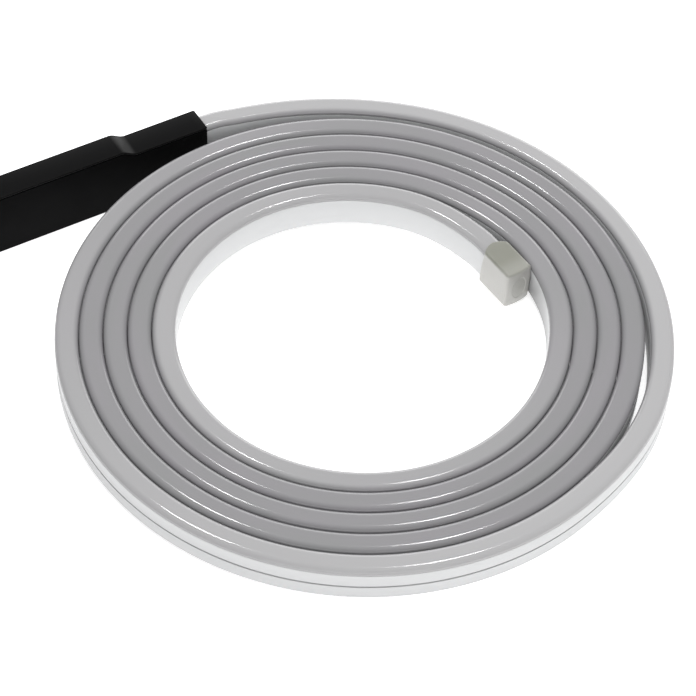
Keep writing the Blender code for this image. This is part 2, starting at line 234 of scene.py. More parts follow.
# %% A closed skin from a grid of points
def skin(name, grid, sharp=35.0, **fields):
    """A closed mesh: quads between neighbouring rows and columns, and one flat face on each end.

    Its volume is the sum over its triangles of a . (b x c) / 6. Where that is negative the faces
    point inwards, and their corners are taken the other way round. Fields are values on the grid,
    such as the distance along the piece, that a material can read by name.
    """
    rows, columns = grid.shape[:2]
    points = grid.reshape(-1, 3)
    index = np.arange(rows * columns).reshape(rows, columns)
    beside = np.roll(index, -1, axis=1)
    quads = np.stack([index[:-1], beside[:-1], beside[1:], index[1:]], axis=-1).reshape(-1, 4)
    ends = np.stack([index[0][::-1], index[-1]])
    apex = np.repeat(ends[:, :1], columns - 2, axis=1)
    fans = np.stack([apex, ends[:, 1:-1], ends[:, 2:]], axis=-1)
    triangles = np.vstack([quads[:, :3], quads[:, [0, 2, 3]], fans.reshape(-1, 3)])
    a, b, c = (points - points.mean(axis=0))[triangles].transpose(1, 0, 2)
    volume = (a * np.cross(b, c)).sum() / 6
    turn = -1 if volume < 0 else 1
    mesh = bpy.data.meshes.new(name)
    mesh.from_pydata(points.tolist(), [], quads[:, ::turn].tolist() + ends[:, ::turn].tolist())
    for field, values in fields.items():
        mesh.attributes.new(field, "FLOAT", "POINT").data.foreach_set("value", values.ravel())
    mesh.shade_smooth()
    mesh.set_sharp_from_angle(angle=math.radians(sharp))
    piece = bpy.data.objects.new(name, mesh)
    bpy.context.scene.collection.objects.link(piece)
    print(name, "volume in cm3:", round(abs(volume) / (10 * MM) ** 3, 2), "faces:", len(mesh.polygons))
    return piece


def placed(grid, matrix):
    """The grid's points after a matrix: each point times the turn, plus the shift."""
    turn = np.array(matrix)
    return grid @ turn[:3, :3].T + turn[:3, 3]


def arc(centre, radius, start, end, steps):
    """Points on part of a circle, or of an ellipse where the radius is a pair of half axes.

    Each is the centre plus the radius times the heading, from start to end in degrees.
    """
    return np.array(centre) + radius * heading(np.linspace(start, end, steps + 1))


# %% [markdown]
# ## The fine path
#
# The solids follow the spiral with a point every nine degrees, so their walls are flats. The fine
# path has a point every degree and a half, on the curve that touches the middles of those flats,
# so that it never leaves the solids' box. Both ends are straight, because the cap and the housing
# hold them so, and each is faded into the spiral.

# %% Points, directions and upright axes along the strip
ROW_STEP = 1.5
BOW_OVER = 12.0
BEND_OVER = 7.0
STRAIGHT = CAP_GRIP + CAP_WALL
HOUSING_GRIP = 14 * MM
INSIDE_STEPS = 4


def strip_path():
    """The centreline: a spiral, faded into a straight line at each end.

    In the middle the radius is the spiral's less the bow of a nine degree flat, radius times one
    less the cosine of half that angle.
    """
    run = np.linspace(0.0, TOTAL_RUN, int(TOTAL_RUN / ROW_STEP) + 1)
    left = TOTAL_RUN - run
    bow = 1 - math.cos(math.radians(SOLID_STEP / 2))
    bow = bow * smooth(run / BOW_OVER) * smooth(left / BOW_OVER)
    spiral = (coil_radius(run) * (1 - bow))[:, None] * heading(START_AZIMUTH + run)
    capped = inner_end - (np.radians(run) * END_RADIUS)[:, None] * cap_way
    held = exit_point - (np.radians(left) * np.hypot(*exit_point))[:, None] * housing_way
    first = math.degrees(STRAIGHT / END_RADIUS)
    into = smooth((run - first) / first)[:, None]
    out = smooth(1 - left / BEND_OVER)[:, None]
    path = capped * (1 - into) + spiral * into
    path = path * (1 - out) + held * out
    inside = np.linspace(0, HOUSING_GRIP, INSIDE_STEPS + 1)[1:, None] * housing_way
    lefts = np.concatenate([left, np.zeros(INSIDE_STEPS)])
    return np.vstack([path, exit_point + inside]), lefts


path, left = strip_path()
along = np.concatenate([[0.0], np.cumsum(np.linalg.norm(np.diff(path, axis=0), axis=1))])
travel = np.gradient(path, axis=0)
travel /= np.linalg.norm(travel, axis=1)[:, None]
level_side = np.column_stack([travel[:, 1], -travel[:, 0], np.zeros(len(path))])
twist = lean * smooth(1 - left / LIFT_OVER)[:, None]
upright = np.array([0.0, 0.0, 1.0])
side_axis = level_side * np.cos(twist) - upright * np.sin(twist)
up_axis = upright * np.cos(twist) + level_side * np.sin(twist)
print("rows:", len(path), "strip length in m:", round(along[-1], 3))

# %% [markdown]
# ## The strip's two profiles
#
# The extruded strip is two silicones bonded into one bar: a white jacket that holds the light
# strip, and a milky diffuser on top. A profile is a ring of points, X out of the coil and Y up, so
# the groove that shows on the outer wall is on +X. Each ring starts under the strip, where the
# seam of a pattern round it can't be seen.

# %% Jacket and diffuser as rings of points
DIFFUSER_DEPTH = 3 * MM
SHOULDER = (3.6 * MM, 2.6 * MM)
SHOULDER_STEPS = 12
FOOT_RADIUS = 0.7 * MM
FOOT_STEPS = 4
LIP_RADIUS = 0.35 * MM
LIP_STEPS = 3
BOND = 0.02 * MM
GROOVE_WIDTH = 1.2 * MM
GROOVE_DEPTH = 0.8 * MM
GROOVE_HEIGHT = 8.5 * MM
GROOVE_POINTS = 9
GROOVE_FULLNESS = 0.7
half = STRIP_WIDTH / 2
foot = -STRIP_HEIGHT / 2
crown = STRIP_HEIGHT / 2
joint = crown - DIFFUSER_DEPTH
groove = foot + GROOVE_HEIGHT


def jacket_ring():
    """The white bar: a rectangle with a round foot, small round lips and a soft groove on +X.

    Across the groove its depth is half a cosine wave, raised to a power below one to fill it out.
    """
    across = np.linspace(-1, 1, GROOVE_POINTS)
    dip = GROOVE_DEPTH * np.cos(across * math.pi / 2) ** GROOVE_FULLNESS
    slot = np.column_stack([half - dip, groove + across * GROOVE_WIDTH / 2])
    inset, low = half - FOOT_RADIUS, foot + FOOT_RADIUS
    lip, high = half - LIP_RADIUS, joint - BOND - LIP_RADIUS
    return np.vstack([
        [[0.0, foot]],
        arc((inset, low), FOOT_RADIUS, -90, 0, FOOT_STEPS),
        slot,
        arc((lip, high), LIP_RADIUS, 0, 90, LIP_STEPS),
        arc((-lip, high), LIP_RADIUS, 90, 180, LIP_STEPS),
        arc((-inset, low), FOOT_RADIUS, 180, 270, FOOT_STEPS),
    ])


def diffuser_ring():
    """The milky cap of the bar: flat on top, with quarter ellipses for shoulders and small lips."""
    x, y = half - SHOULDER[0], crown - SHOULDER[1]
    lip, low = half - LIP_RADIUS, joint + LIP_RADIUS
    return np.vstack([
        [[0.0, joint]],
        arc((lip, low), LIP_RADIUS, -90, 0, LIP_STEPS),
        arc((x, y), np.array(SHOULDER), 0, 90, SHOULDER_STEPS),
        [[0.0, crown]],
        arc((-x, y), np.array(SHOULDER), 90, 180, SHOULDER_STEPS),
        arc((-lip, low), LIP_RADIUS, 180, 270, LIP_STEPS),
    ])


jacket_profile = jacket_ring()
diffuser_profile = diffuser_ring()
print("points round the jacket and the diffuser:", len(jacket_profile), len(diffuser_profile))

# %% [markdown]
# ## Painted shade and light on the strip
#
# Little light gets down between the turns, and the silicone passes some of it on inside, which
# surfaces alone can't show. So that light and shade are painted into the colour: each point of the
# mesh stores a share of a second tone, worked out from where it lies: on the last turn the outer
# side is open, and on the first the inner one. A baked picture could hold the same, but a formula
# needs no file and follows a change of size.

# %% Shade, and the two skins along the path
OPEN_FOR = 150.0
OPEN_FADE = 300.0
SHADE_FROM = 4 * MM
SHADE_OVER = 6 * MM
GROOVE_SHADE = 0.45
SHADED_HALF = 0.45 * GROOVE_WIDTH
COVERED_TONE = 0.4
FIRST_TURN_OPEN = 0.7
EDGE_SHADE = 0.6
EDGE_OVER = 3.0 * MM


def open_side(side):
    """1 where a side of the strip lies open, on the last turn outside and on the first inside.

    A side above zero is the outer one. The share falls softly with the angle from the open end.
    """
    run = np.where(side > 0, left[:, None], (TOTAL_RUN - left)[:, None])
    return smooth(1 - (run - OPEN_FOR) / OPEN_FADE)


def jacket_tint(ring):
    """The share of painted shade: deep between the turns, and inside the groove.

    Between the turns it rises softly from 4 to 10 mm below the strip's top. A side that lies open
    has none. In the groove it is constant.
    """
    deep = smooth((crown - ring[:, 1] - SHADE_FROM) / SHADE_OVER)
    in_groove = (np.abs(ring[:, 1] - groove) < SHADED_HALF) & (ring[:, 0] > 0)
    return np.maximum((1 - open_side(ring[None, :, 0])) * deep, GROOVE_SHADE * in_groove)


def diffuser_tint(ring):
    """The painted light's share: less towards a side that another turn covers, as painted shade.

    It is 0.4 between the turns, 1 on the last turn, whose outer side lies open, and about 0.8 on
    the first.
    """
    outwards = np.ones((1, len(ring)))
    opened = np.maximum(open_side(outwards), FIRST_TURN_OPEN * open_side(-outwards))
    edge = EDGE_SHADE * smooth(1 - (half - np.abs(ring[:, 0])) / EDGE_OVER)
    tone = COVERED_TONE + (1 - COVERED_TONE) * opened
    return tone * (1 - edge * (1 - open_side(ring[None, :, 0])))


def swept(name, ring, tint):
    """The ring carried along the path: path plus x times the side axis plus y times the up axis."""
    x, y = ring[None, :, 0, None], ring[None, :, 1, None]
    centre = np.column_stack([path, np.zeros(len(path))])
    grid = centre[:, None] + x * side_axis[:, None] + y * up_axis[:, None]
    steps = np.linalg.norm(np.diff(ring, axis=0), axis=1)
    around = np.concatenate([[0.0], np.cumsum(steps)])
    rows, columns = grid.shape[:2]
    return skin(
        name,
        placed(grid, coil_plane),
        along=np.repeat(along[:, None], columns, axis=1),
        around=np.repeat(around[None], rows, axis=0),
        tint=tint,
    )


# The jacket's mesh carries painted shade, the diffuser's painted light and shade.
jacket = swept("jacket_skin", jacket_profile, jacket_tint(jacket_profile))
diffuser = swept("diffuser_skin", diffuser_profile, diffuser_tint(diffuser_profile))

# %% [markdown]
# ## The end cap
#
# The cap is one moulding in clear silicone, frosted by its mould: a sleeve that grips the strip, a
# solid nose in front of it, and a shallow oval dish in the nose. One grid makes it all. Its rings
# start at the bottom of the pocket, come out over the back rim, run along the outside and end in
# the dish, so the wall is closed without any cutting.

# %% Rings for the cap
CAP_ROOF = 1.6 * MM
CAP_HEIGHT = STRIP_HEIGHT + 2 * (FIT + CAP_ROOF)
CAP_CORNER = 1.7 * MM
CAP_NOTCH = (1.7 * MM, 2.5 * MM)
NOSE_BOW = (0.9 * MM, 0.4 * MM)
CORNER_STEPS = 8
SIDE_STEPS = 8


def box_ring(width, height, corner):
    """A rectangle with round corners: four quarter circles, with points along each side."""
    w, h = width / 2 - corner, height / 2 - corner
    middles = ((w, h), (-w, h), (-w, -h), (w, -h))
    arcs = [arc(at, corner, 90 * k, 90 * k + 90, CORNER_STEPS) for k, at in enumerate(middles)]
    share = np.linspace(0, 1, SIDE_STEPS + 2)[1:-1, None]
    sides = [a[-1] * (1 - share) + b[0] * share for a, b in zip(arcs, arcs[1:] + arcs[:1])]
    return np.vstack([points for pair in zip(arcs, sides) for points in pair])


def oval_ring(width, height):
    """An ellipse whose points lie on the same rays as the box ring's: half width times cosine."""
    x, y = box_ring(CAP_WIDTH, CAP_HEIGHT, CAP_CORNER).T
    angle = np.arctan2(y / CAP_HEIGHT, x / CAP_WIDTH)
    return np.column_stack([np.cos(angle) * width / 2, np.sin(angle) * height / 2])


def cap_ring(x, ring, notch=0.0, bow=0.0):
    """A ring stood up at x, its sides brought forward by the notch and back by the bow.

    With u and v the place across and up as shares of the half sizes, and w the share of the height,
    x gains u squared times the notch's two sizes, the second one times w squared. It loses the
    bow's two sizes times u squared and v squared.
    """
    u, v = ring[:, 0] / CAP_WIDTH * 2, ring[:, 1] / CAP_HEIGHT * 2
    w = (v + 1) / 2
    forward = notch * u ** 2 * (CAP_NOTCH[0] + CAP_NOTCH[1] * w ** 2)
    backward = bow * (NOSE_BOW[0] * u ** 2 + NOSE_BOW[1] * v ** 2)
    return np.column_stack([x + forward - backward, ring])


print("points round the cap:", len(box_ring(CAP_WIDTH, CAP_HEIGHT, CAP_CORNER)))

# %% [markdown]
# ## From the pocket to the dish
#
# All the cap's rings have the same number of points, whether they are boxes or ovals. So a row of
# them can turn a corner with a few rings on a quarter circle, and pass from the box of the end
# face to the oval of the dish without a seam.

# %% The cap from its pocket to its dish
CAP_TONGUE = 0.2 * MM
CAP_RIM = 0.5 * MM
CAP_RIM_STEPS = 3
CAP_EDGE = 1.2 * MM
CAP_EDGE_STEPS = 6
CAP_SIDE_STEPS = 9
POCKET_CORNER = 1.0 * MM
HUB = 0.2 * MM
DISH_WIDTH = 9.0 * MM
DISH_HEIGHT = 15.0 * MM
DISH_DEPTH = 0.35 * MM
DISH_SLOPE = ((1.0, 0.0), (0.4, 0.06), (0.0, 0.3), (-0.5, 0.8), (-1.2, 1.0))
cap_front = CAP_LENGTH - CAP_GRIP


def cap_grid():
    """Rings from the pocket's bottom out over the back rim, along the outside and into the dish.

    The back rim and the front edge are quarter circles. The dish's slope pairs how much wider a
    ring is, in millimetres, with the share of the depth. A tiny hub closes each end.
    """
    back, front = -CAP_GRIP - CAP_TONGUE, cap_front
    inner = box_ring(STRIP_WIDTH + FIT, STRIP_HEIGHT + FIT, POCKET_CORNER)
    hub = oval_ring(HUB, HUB)
    rows = [cap_ring(FIT, hub), cap_ring(FIT, inner)]
    rows.append(cap_ring(back + CAP_RIM, inner, notch=1.0))
    for angle in np.linspace(0, math.pi / 2, CAP_RIM_STEPS + 1):
        less = 2 * CAP_RIM * (1 - math.sin(angle))
        ring = box_ring(CAP_WIDTH - less, CAP_HEIGHT - less, CAP_CORNER - less / 2)
        rows.append(cap_ring(back + CAP_RIM * (1 - math.cos(angle)), ring, notch=1.0))
    outer = box_ring(CAP_WIDTH, CAP_HEIGHT, CAP_CORNER)
    for share in np.linspace(0, 1, CAP_SIDE_STEPS + 1)[1:]:
        x = back + CAP_RIM + share * (front - CAP_EDGE - back - CAP_RIM)
        rows.append(cap_ring(x, outer, notch=(1 - share) ** 2, bow=share ** 2))
    for angle in np.linspace(0, math.pi / 2, CAP_EDGE_STEPS + 1)[1:]:
        less = 2 * CAP_EDGE * (1 - math.cos(angle))
        ring = box_ring(CAP_WIDTH - less, CAP_HEIGHT - less, CAP_CORNER - less / 4)
        rows.append(cap_ring(front - CAP_EDGE * (1 - math.sin(angle)), ring, bow=1.0))
    for more, sunk in DISH_SLOPE:
        ring = oval_ring(DISH_WIDTH + more * MM, DISH_HEIGHT + more * MM)
        rows.append(cap_ring(front - sunk * DISH_DEPTH, ring, bow=1.0))
    rows.append(cap_ring(front - DISH_DEPTH, hub))
    return np.array(rows)


cap_rows = cap_grid()
cap_turn = Matrix.Rotation(math.atan2(cap_way[1], cap_way[0]), 4, "Z")
cap_place = coil_plane @ Matrix.Translation((*inner_end, 0.0)) @ cap_turn
print("rings of the cap:", len(cap_rows), "from x in mm:", (cap_rows[..., 0].min() / MM).round(1))

# %% [markdown]
# ## Painted shade on the cap
#
# Frosted silicone shows what is behind it. Over the grey diffuser the cap's roof is painted darker,
# standing for the diffuser seen through the frost, and ahead of the strip a little less so. The end
# face, in front of the thick nose, gets painted shade, and its dish more of it.

# %% The cap's shade and its mesh
ROOF_FROM = 0.86
ROOF_OVER = 0.12
ROOF_LOSS = 0.3
ROOF_LOSS_OVER = 8 * MM
FACE_SHADE = 0.1
FACE_FROM = 1.6 * MM
FACE_OVER = 1.2 * MM
DISH_SHADE = 0.4
DISH_SHADE_SIZE = 1.1
DISH_SHADE_OVER = 0.4


def cap_tint(grid):
    """The share of painted shade, from soft steps.

    The roof's starts at a share of the half height and is less ahead of the strip. The face's
    starts behind the front, and grows inside the dish.
    """
    x, y, z = grid.transpose(2, 0, 1)
    roof = smooth((z / CAP_HEIGHT * 2 - ROOF_FROM) / ROOF_OVER)
    roof = roof * (1 - ROOF_LOSS * smooth(x / ROOF_LOSS_OVER))
    from_middle = np.hypot(y / DISH_WIDTH * 2, z / DISH_HEIGHT * 2)
    in_dish = smooth((DISH_SHADE_SIZE - from_middle) / DISH_SHADE_OVER)
    depth = FACE_SHADE + (DISH_SHADE - FACE_SHADE) * in_dish
    face = depth * smooth((x - cap_front + FACE_FROM) / FACE_OVER)
    return np.maximum(roof, face)


# The cap's mesh carries its painted shade.
end_cap = skin("end_cap_skin", placed(cap_rows, cap_place), sharp=50.0, tint=cap_tint(cap_rows))

# %% [markdown]
# ## The housing
#
# The power housing is a slim moulded tray with a lid on top. Its top steps up in one soft S
# towards the far end, so the tray's rings along the length only change in height. The tray is one
# grid again: each ring runs round the outside, over the rims and down inside.

# %% The upper outline and a ring of the tray
HOUSING_WALL = 1.8 * MM
HOUSING_WIDTH = STRIP_WIDTH + 2 * (FIT + HOUSING_WALL)
THIN_LENGTH = 41.9 * MM
RAMP_LENGTH = 9.8 * MM
RAMP_RISE = 4.0 * MM
BODY_ROUND = 0.5 * MM
BODY_ROUND_STEPS = 3


def top_height(x):
    """The housing's height along it: flat, half a cosine wave up over the ramp, then flat."""
    share = np.clip((x - THIN_LENGTH) / RAMP_LENGTH, 0.0, 1.0)
    return THIN_HEIGHT + RAMP_RISE * (1 - np.cos(math.pi * share)) / 2


def ramp_stations(steps):
    """Places along the ramp, from its foot to its head."""
    return THIN_LENGTH + RAMP_LENGTH * np.linspace(0, 1, steps + 1)


def tray_ring(top, floor, inset):
    """A ring across the tray, Y across and Z up: outside, rims and inside, less an inset outside."""
    out = HOUSING_WIDTH / 2 - inset
    inn = STRIP_WIDTH / 2 + FIT
    rim = top - inset
    r = BODY_ROUND
    right = np.vstack([
        arc((out - r, inset + r), r, -90, 0, BODY_ROUND_STEPS),
        [[out, rim - r / 2], [out - r / 2, rim]],
        [[inn + r / 4, rim], [inn, rim - r / 4]],
        [[inn, min(floor + r / 4, rim - r / 3)], [inn - r / 4, floor]],
    ])
    return np.vstack([right, (right * (-1, 1))[::-1]])


print("housing's width in mm:", round(HOUSING_WIDTH / MM, 2))
print("housing's greatest height in mm:", round((THIN_HEIGHT + RAMP_RISE) / MM, 2))

# %% [markdown]
# ## The tray
#
# The tray is open at the top and at its mouth, where the strip comes in and lies on a ledge. It
# could be cut out of a block, but a floor that changes its height from ring to ring gives the
# same hollow with clean walls.

# %% The tray
LID_THICKNESS = 1.3 * MM
LID_SEAM = 0.4 * MM
LEDGE_START = 3 * MM
TRAY_RAMP_STEPS = 24


def end_stations(floor):
    """Stations round the mouth's edge: a quarter circle gives the place along and the inset."""
    angles = np.linspace(math.pi / 2, 0, BODY_ROUND_STEPS + 1)
    return [(BODY_ROUND * (1 - math.sin(a)), floor, BODY_ROUND * (1 - math.cos(a))) for a in angles]


def tray_grid():
    """Rings from the mouth to the far end, each at a place along with a floor and an inset.

    The floor is a ledge under the strip, drops behind it, and rises at the end wall.
    """
    under = LID_THICKNESS + LID_SEAM
    ledge = MOUTH_HEIGHT - STRIP_HEIGHT / 2 - FIT
    ledge_end = HOUSING_GRIP + 2 * HOUSING_WALL
    wall = HOUSING_LENGTH - HOUSING_WALL
    wall_top = THIN_HEIGHT + RAMP_RISE - under - BODY_ROUND
    stations = end_stations(ledge) + [(LEDGE_START, ledge, 0.0), (ledge_end, ledge, 0.0)]
    middle = [ledge_end, *ramp_stations(TRAY_RAMP_STEPS), wall]
    stations += [(x, HOUSING_WALL, 0.0) for x in middle] + [(wall, wall_top, 0.0)]
    far_end = end_stations(wall_top)[::-1]
    stations += [(HOUSING_LENGTH - x, floor, inset) for x, floor, inset in far_end]
    grid = []
    for x, floor, inset in stations:
        ring = tray_ring(top_height(x) - under, floor, inset)
        grid.append(np.column_stack([np.full(len(ring), x), ring]))
    return np.array(grid)


housing_body = skin("housing_tray", placed(tray_grid(), housing_place))

# %% [markdown]
# ## The lid
#
# The lid is a plate that follows the same outline. All its edges are rounded, and a fine seam is
# left between it and the tray. A bevelled box would have to be bent over the step, so here too a
# ring is carried along the outline instead.

# %% The lid
LID_ROUND = 0.6 * MM
LID_END_STEPS = 4
LID_LOW_STEPS = 4
LID_TOP_STEPS = 5
LID_RAMP_STEPS = 32
LID_EVEN = (5 * MM, 100 * MM)


def lid_grid():
    """A rounded bar as wide as the housing, carried along the outline and rounded at both ends.

    A station lies on each even stretch, on either side of the ramp.
    """
    angles = np.linspace(0, math.pi / 2, LID_END_STEPS + 1)
    ends = LID_ROUND * (1 - np.cos(angles))
    shrink = LID_ROUND * (1 - np.sin(angles))
    middle = [LID_EVEN[0], *ramp_stations(LID_RAMP_STEPS), LID_EVEN[1]]
    x = np.concatenate([ends, middle, (HOUSING_LENGTH - ends)[::-1]])
    inset = np.concatenate([shrink, np.zeros(len(middle)), shrink[::-1]])
    grid = []
    for at, less in zip(x, inset):
        side = HOUSING_WIDTH / 2 - less - LID_ROUND
        high = -less - LID_ROUND
        low = -LID_THICKNESS + less + LID_ROUND
        ring = np.vstack([
            arc((side, low), LID_ROUND, -90, 0, LID_LOW_STEPS),
            arc((side, high), LID_ROUND, 0, 90, LID_TOP_STEPS),
            arc((-side, high), LID_ROUND, 90, 180, LID_TOP_STEPS),
            arc((-side, low), LID_ROUND, 180, 270, LID_LOW_STEPS),
        ])
        ring[:, 1] += top_height(at)
        grid.append(np.column_stack([np.full(len(ring), at), ring]))
    return np.array(grid)


housing_lid = skin("housing_lid_plate", placed(lid_grid(), housing_place), sharp=50.0)

# %% [markdown]
# ## The lead's gland
#
# The supply lead leaves at the far end. Only its rubber gland belongs to this part: a neck in the
# wall, a flange outside and a short tapered sleeve with two ribs. It is turned, so its rings are
# circles.

# %% The gland
GLAND_HEIGHT = 20 * MM
GLAND_COLUMNS = 48
RIBS = 2
RIB_STEP = (2.0, -0.15)
NECK_AND_FLANGE = (
    (-1.8, 0.1), (-1.8, 2.9), (0.3, 2.9), (0.3, 4.2), (0.5, 4.45), (1.6, 4.45), (1.85, 4.2),
    (1.9, 3.9), (2.1, 3.65), (3.4, 3.5),
)
GROOVE_AND_RIB = ((3.5, 3.3), (4.3, 3.25), (4.4, 3.45), (5.4, 3.35))
MOUTH_AND_BORE = (
    (7.5, 3.0), (8.7, 2.95), (8.95, 2.75), (9.0, 2.5), (9.0, 2.0), (8.85, 1.85), (5.5, 1.8),
    (5.5, 0.1),
)


def gland_grid():
    """Circles along X: each profile point gives x and the radius, swung round the axis.

    The profile is in millimetres. Each rib repeats the one before, further on and a little lower.
    """
    ribs = [np.array(GROOVE_AND_RIB) + k * np.array(RIB_STEP) for k in range(RIBS)]
    profile = np.vstack([NECK_AND_FLANGE, *ribs, MOUTH_AND_BORE]) * MM
    turn = heading(np.linspace(0, 360, GLAND_COLUMNS, endpoint=False))
    x = np.repeat(profile[:, :1], GLAND_COLUMNS, axis=1)
    return np.dstack([x, profile[:, 1:] * turn[:, 0], profile[:, 1:] * turn[:, 1]])


gland_place = housing_place @ Matrix.Translation((HOUSING_LENGTH, 0.0, GLAND_HEIGHT))
power_gland = skin("gland_turned", placed(gland_grid(), gland_place))

# %% [markdown]
# ## Shader maths
#
# A material is a small program of nodes. Wrapping a socket in a class that knows + - * lets the
# formulas read like the ones above, and one method adds every other kind of node.

# %% A wire that does arithmetic
class Wire:
    """One output socket. Sums and products of wires and numbers add Math nodes."""

    def __init__(self, tree, socket=None):
        self.tree = tree
        self.socket = socket

    def node(self, kind, settings=None, sockets=None, outlet=0):
        """A node of a kind: its settings are set first, then its sockets' values or links."""
        made = self.tree.nodes.new("ShaderNode" + kind)
        for name, value in (settings or {}).items():
            setattr(made, name, value)
        for name, value in (sockets or {}).items():
            if isinstance(value, Wire):
                self.tree.links.new(value.socket, made.inputs[name])
            else:
                made.inputs[name].default_value = value
        return Wire(self.tree, made.outputs[outlet])

    def maths(self, operation, first, second):
        return self.node("Math", {"operation": operation}, {0: first, 1: second})

    def __add__(self, other):
        return self.maths("ADD", self, other)

    def __sub__(self, other):
        return self.maths("SUBTRACT", self, other)

    def __mul__(self, other):
        return self.maths("MULTIPLY", self, other)

    __radd__ = __add__


def new_finish(name, **constants):
    """A Principled material with constant sockets, and the wire that starts its nodes."""
    material = bpy.data.materials.new(name)
    material.use_nodes = True
    tree = material.node_tree
    shader = tree.nodes["Principled BSDF"]
    for socket, value in constants.items():
        shader.inputs[socket.replace("_", " ")].default_value = value
    return material, Wire(tree), shader


def feed(shader, wire, socket):
    """A wire linked into one of the shader's sockets."""
    shader.id_data.links.new(wire.socket, shader.inputs[socket])


def grain(wire, place, scale, detail=2.0):
    """Noise between about 0.3 and 0.7 at a number of waves a metre."""
    return wire.node("TexNoise", None, {"Vector": place, "Scale": scale, "Detail": detail})


def spread(wire, noise):
    """The middle part of a noise, stretched over 0 to 1."""
    return wire.node("MapRange", None, {"Value": noise, "From Min": 0.35, "From Max": 0.65})


def stored(wire, name):
    """A value that the mesh's points carry."""
    return wire.node("Attribute", {"attribute_name": name}, None, "Fac")


def mixed(wire, share, first, second):
    """A colour between two, by a share. Either may be a wire or three numbers.

    The Mix node keeps its colour sockets at 6 and 7 and its colour result at 2.
    """
    full = [c if isinstance(c, Wire) else (*c, 1.0) for c in (first, second)]
    return wire.node("Mix", {"data_type": "RGBA"}, {0: share, 6: full[0], 7: full[1]}, 2)


def bumped(wire, height, distance, strength):
    """A normal tilted by a height, whose 1 stands for a distance in metres."""
    return wire.node("Bump", None, {"Height": height, "Distance": distance, "Strength": strength})


print("shader helpers ready")

# %% [markdown]
# ## White silicone
#
# The jacket is extruded silicone: bright, satin, with fine lines drawn along it by the die and a
# little handling dust in patches. The lines follow the strip, so they read the distance along it
# and round it instead of a place in space. The painted shade on the mesh, between the turns and in
# the groove, mixes in a darker tone. Noise made this way has no seams and no end, unlike a picture
# wrapped round the strip.

# %% The jacket's finish
DIE_LINES = (6.0, 2600.0)
DUST_PATCHES = (14.0, 60.0)
SATIN_GRAIN = 2600.0
SATIN_HEIGHT = 0.25
PATCH_ROUGHNESS = 0.08
SATIN_ROUGHNESS = 0.04
LINE_DEPTH = 0.02 * MM
LINE_STRENGTH = 0.3


def drawn_out(wire, waves):
    """Noise stretched along the strip: a number of waves a metre along it, and one round it."""
    x = stored(wire, "along") * waves[0]
    y = stored(wire, "around") * waves[1]
    return grain(wire, wire.node("CombineXYZ", None, {"X": x, "Y": y}), scale=1.0, detail=3.0)


def strip_finish(name, light, dark, tinted, roughness, die_lines, **constants):
    """Extruded silicone: two tones in slow patches, die lines along it and a fine satin grain.

    The painted shading on the mesh mixes in the third colour: painted shade when it is darker, painted
    light when it is lighter.
    """
    material, wire, shader = new_finish(name, **constants)
    lines = drawn_out(wire, DIE_LINES)
    patches = drawn_out(wire, DUST_PATCHES)
    satin = grain(wire, wire.node("TexCoord", None, None, "Object"), SATIN_GRAIN)
    colour = mixed(wire, spread(wire, patches), light, dark)
    # The painted shading from the mesh mixes in the third colour.
    feed(shader, mixed(wire, stored(wire, "tint"), colour, tinted), "Base Color")
    uneven = (patches - 0.5) * PATCH_ROUGHNESS + (satin - 0.5) * SATIN_ROUGHNESS
    feed(shader, roughness + uneven, "Roughness")
    height = lines * die_lines + satin * SATIN_HEIGHT
    feed(shader, bumped(wire, height, LINE_DEPTH, LINE_STRENGTH), "Normal")
    print(name, "nodes:", len(material.node_tree.nodes))
    return material


white_silicone = strip_finish(
    "white_silicone",
    light=(0.60, 0.605, 0.61),
    dark=(0.585, 0.59, 0.595),
    # The third colour is the painted shade between the turns and in the groove.
    tinted=(0.16, 0.16, 0.165),
    roughness=0.40,
    die_lines=1.0,
    Specular_IOR_Level=0.4,
)
jacket.data.materials.append(white_silicone)

# %% [markdown]
# ## Milky silicone
#
# The diffuser is the same silicone with less pigment. Light goes into it and loses its way, so it
# looks grey beside the white jacket. Painted shade darkens it where the next turn covers its side,
# and painted light makes it lightest on the turns whose side lies open. It is smooth enough for a
# long thin streak on each shoulder.

# %% The diffuser's finish
milky_silicone = strip_finish(
    "milky_silicone",
    light=(0.168, 0.159, 0.174),
    dark=(0.147, 0.149, 0.152),
    # The third colour is lighter: painted light on the open turns.
    tinted=(0.390, 0.387, 0.392),
    roughness=0.09,
    die_lines=0.8,
    Specular_IOR_Level=0.6,
)
diffuser.data.materials.append(milky_silicone)

# %% [markdown]
# ## Frosted cap, satin black and rubber
#
# The cap is clear silicone with a frosted skin. The housing is moulded plastic with a fine spark
# texture, a little shinier on the lid than on the tray; the lid's tones are also a touch lighter,
# painted light on its top. The gland is matt rubber. They all read their place in the part, and the
# cap reads its painted shade too.

# %% Moulded finishes
CLOUDS = 45.0
CLOUD_ROUGHNESS = 0.15
SPARK_ROUGHNESS = 0.2
SPARK_STRENGTH = 0.5


def moulded_finish(name, light, dark, roughness, spark, depth, tinted=None, **constants):
    """A moulded skin: two tones in soft clouds, and a spark texture in bump and roughness.

    Where a third colour is given, the painted shade on the mesh mixes it in.
    """
    material, wire, shader = new_finish(name, **constants)
    place = wire.node("TexCoord", None, None, "Object")
    clouds = grain(wire, place, CLOUDS, detail=3.0)
    sparks = grain(wire, place, spark)
    colour = mixed(wire, spread(wire, clouds), light, dark)
    if tinted:
        # The painted shade from the mesh mixes in the third colour.
        colour = mixed(wire, stored(wire, "tint"), colour, tinted)
    feed(shader, colour, "Base Color")
    uneven = (clouds - 0.5) * CLOUD_ROUGHNESS + (sparks - 0.5) * SPARK_ROUGHNESS
    feed(shader, roughness + uneven, "Roughness")
    feed(shader, bumped(wire, sparks, depth, SPARK_STRENGTH), "Normal")
    print(name, "nodes:", len(material.node_tree.nodes))
    return material


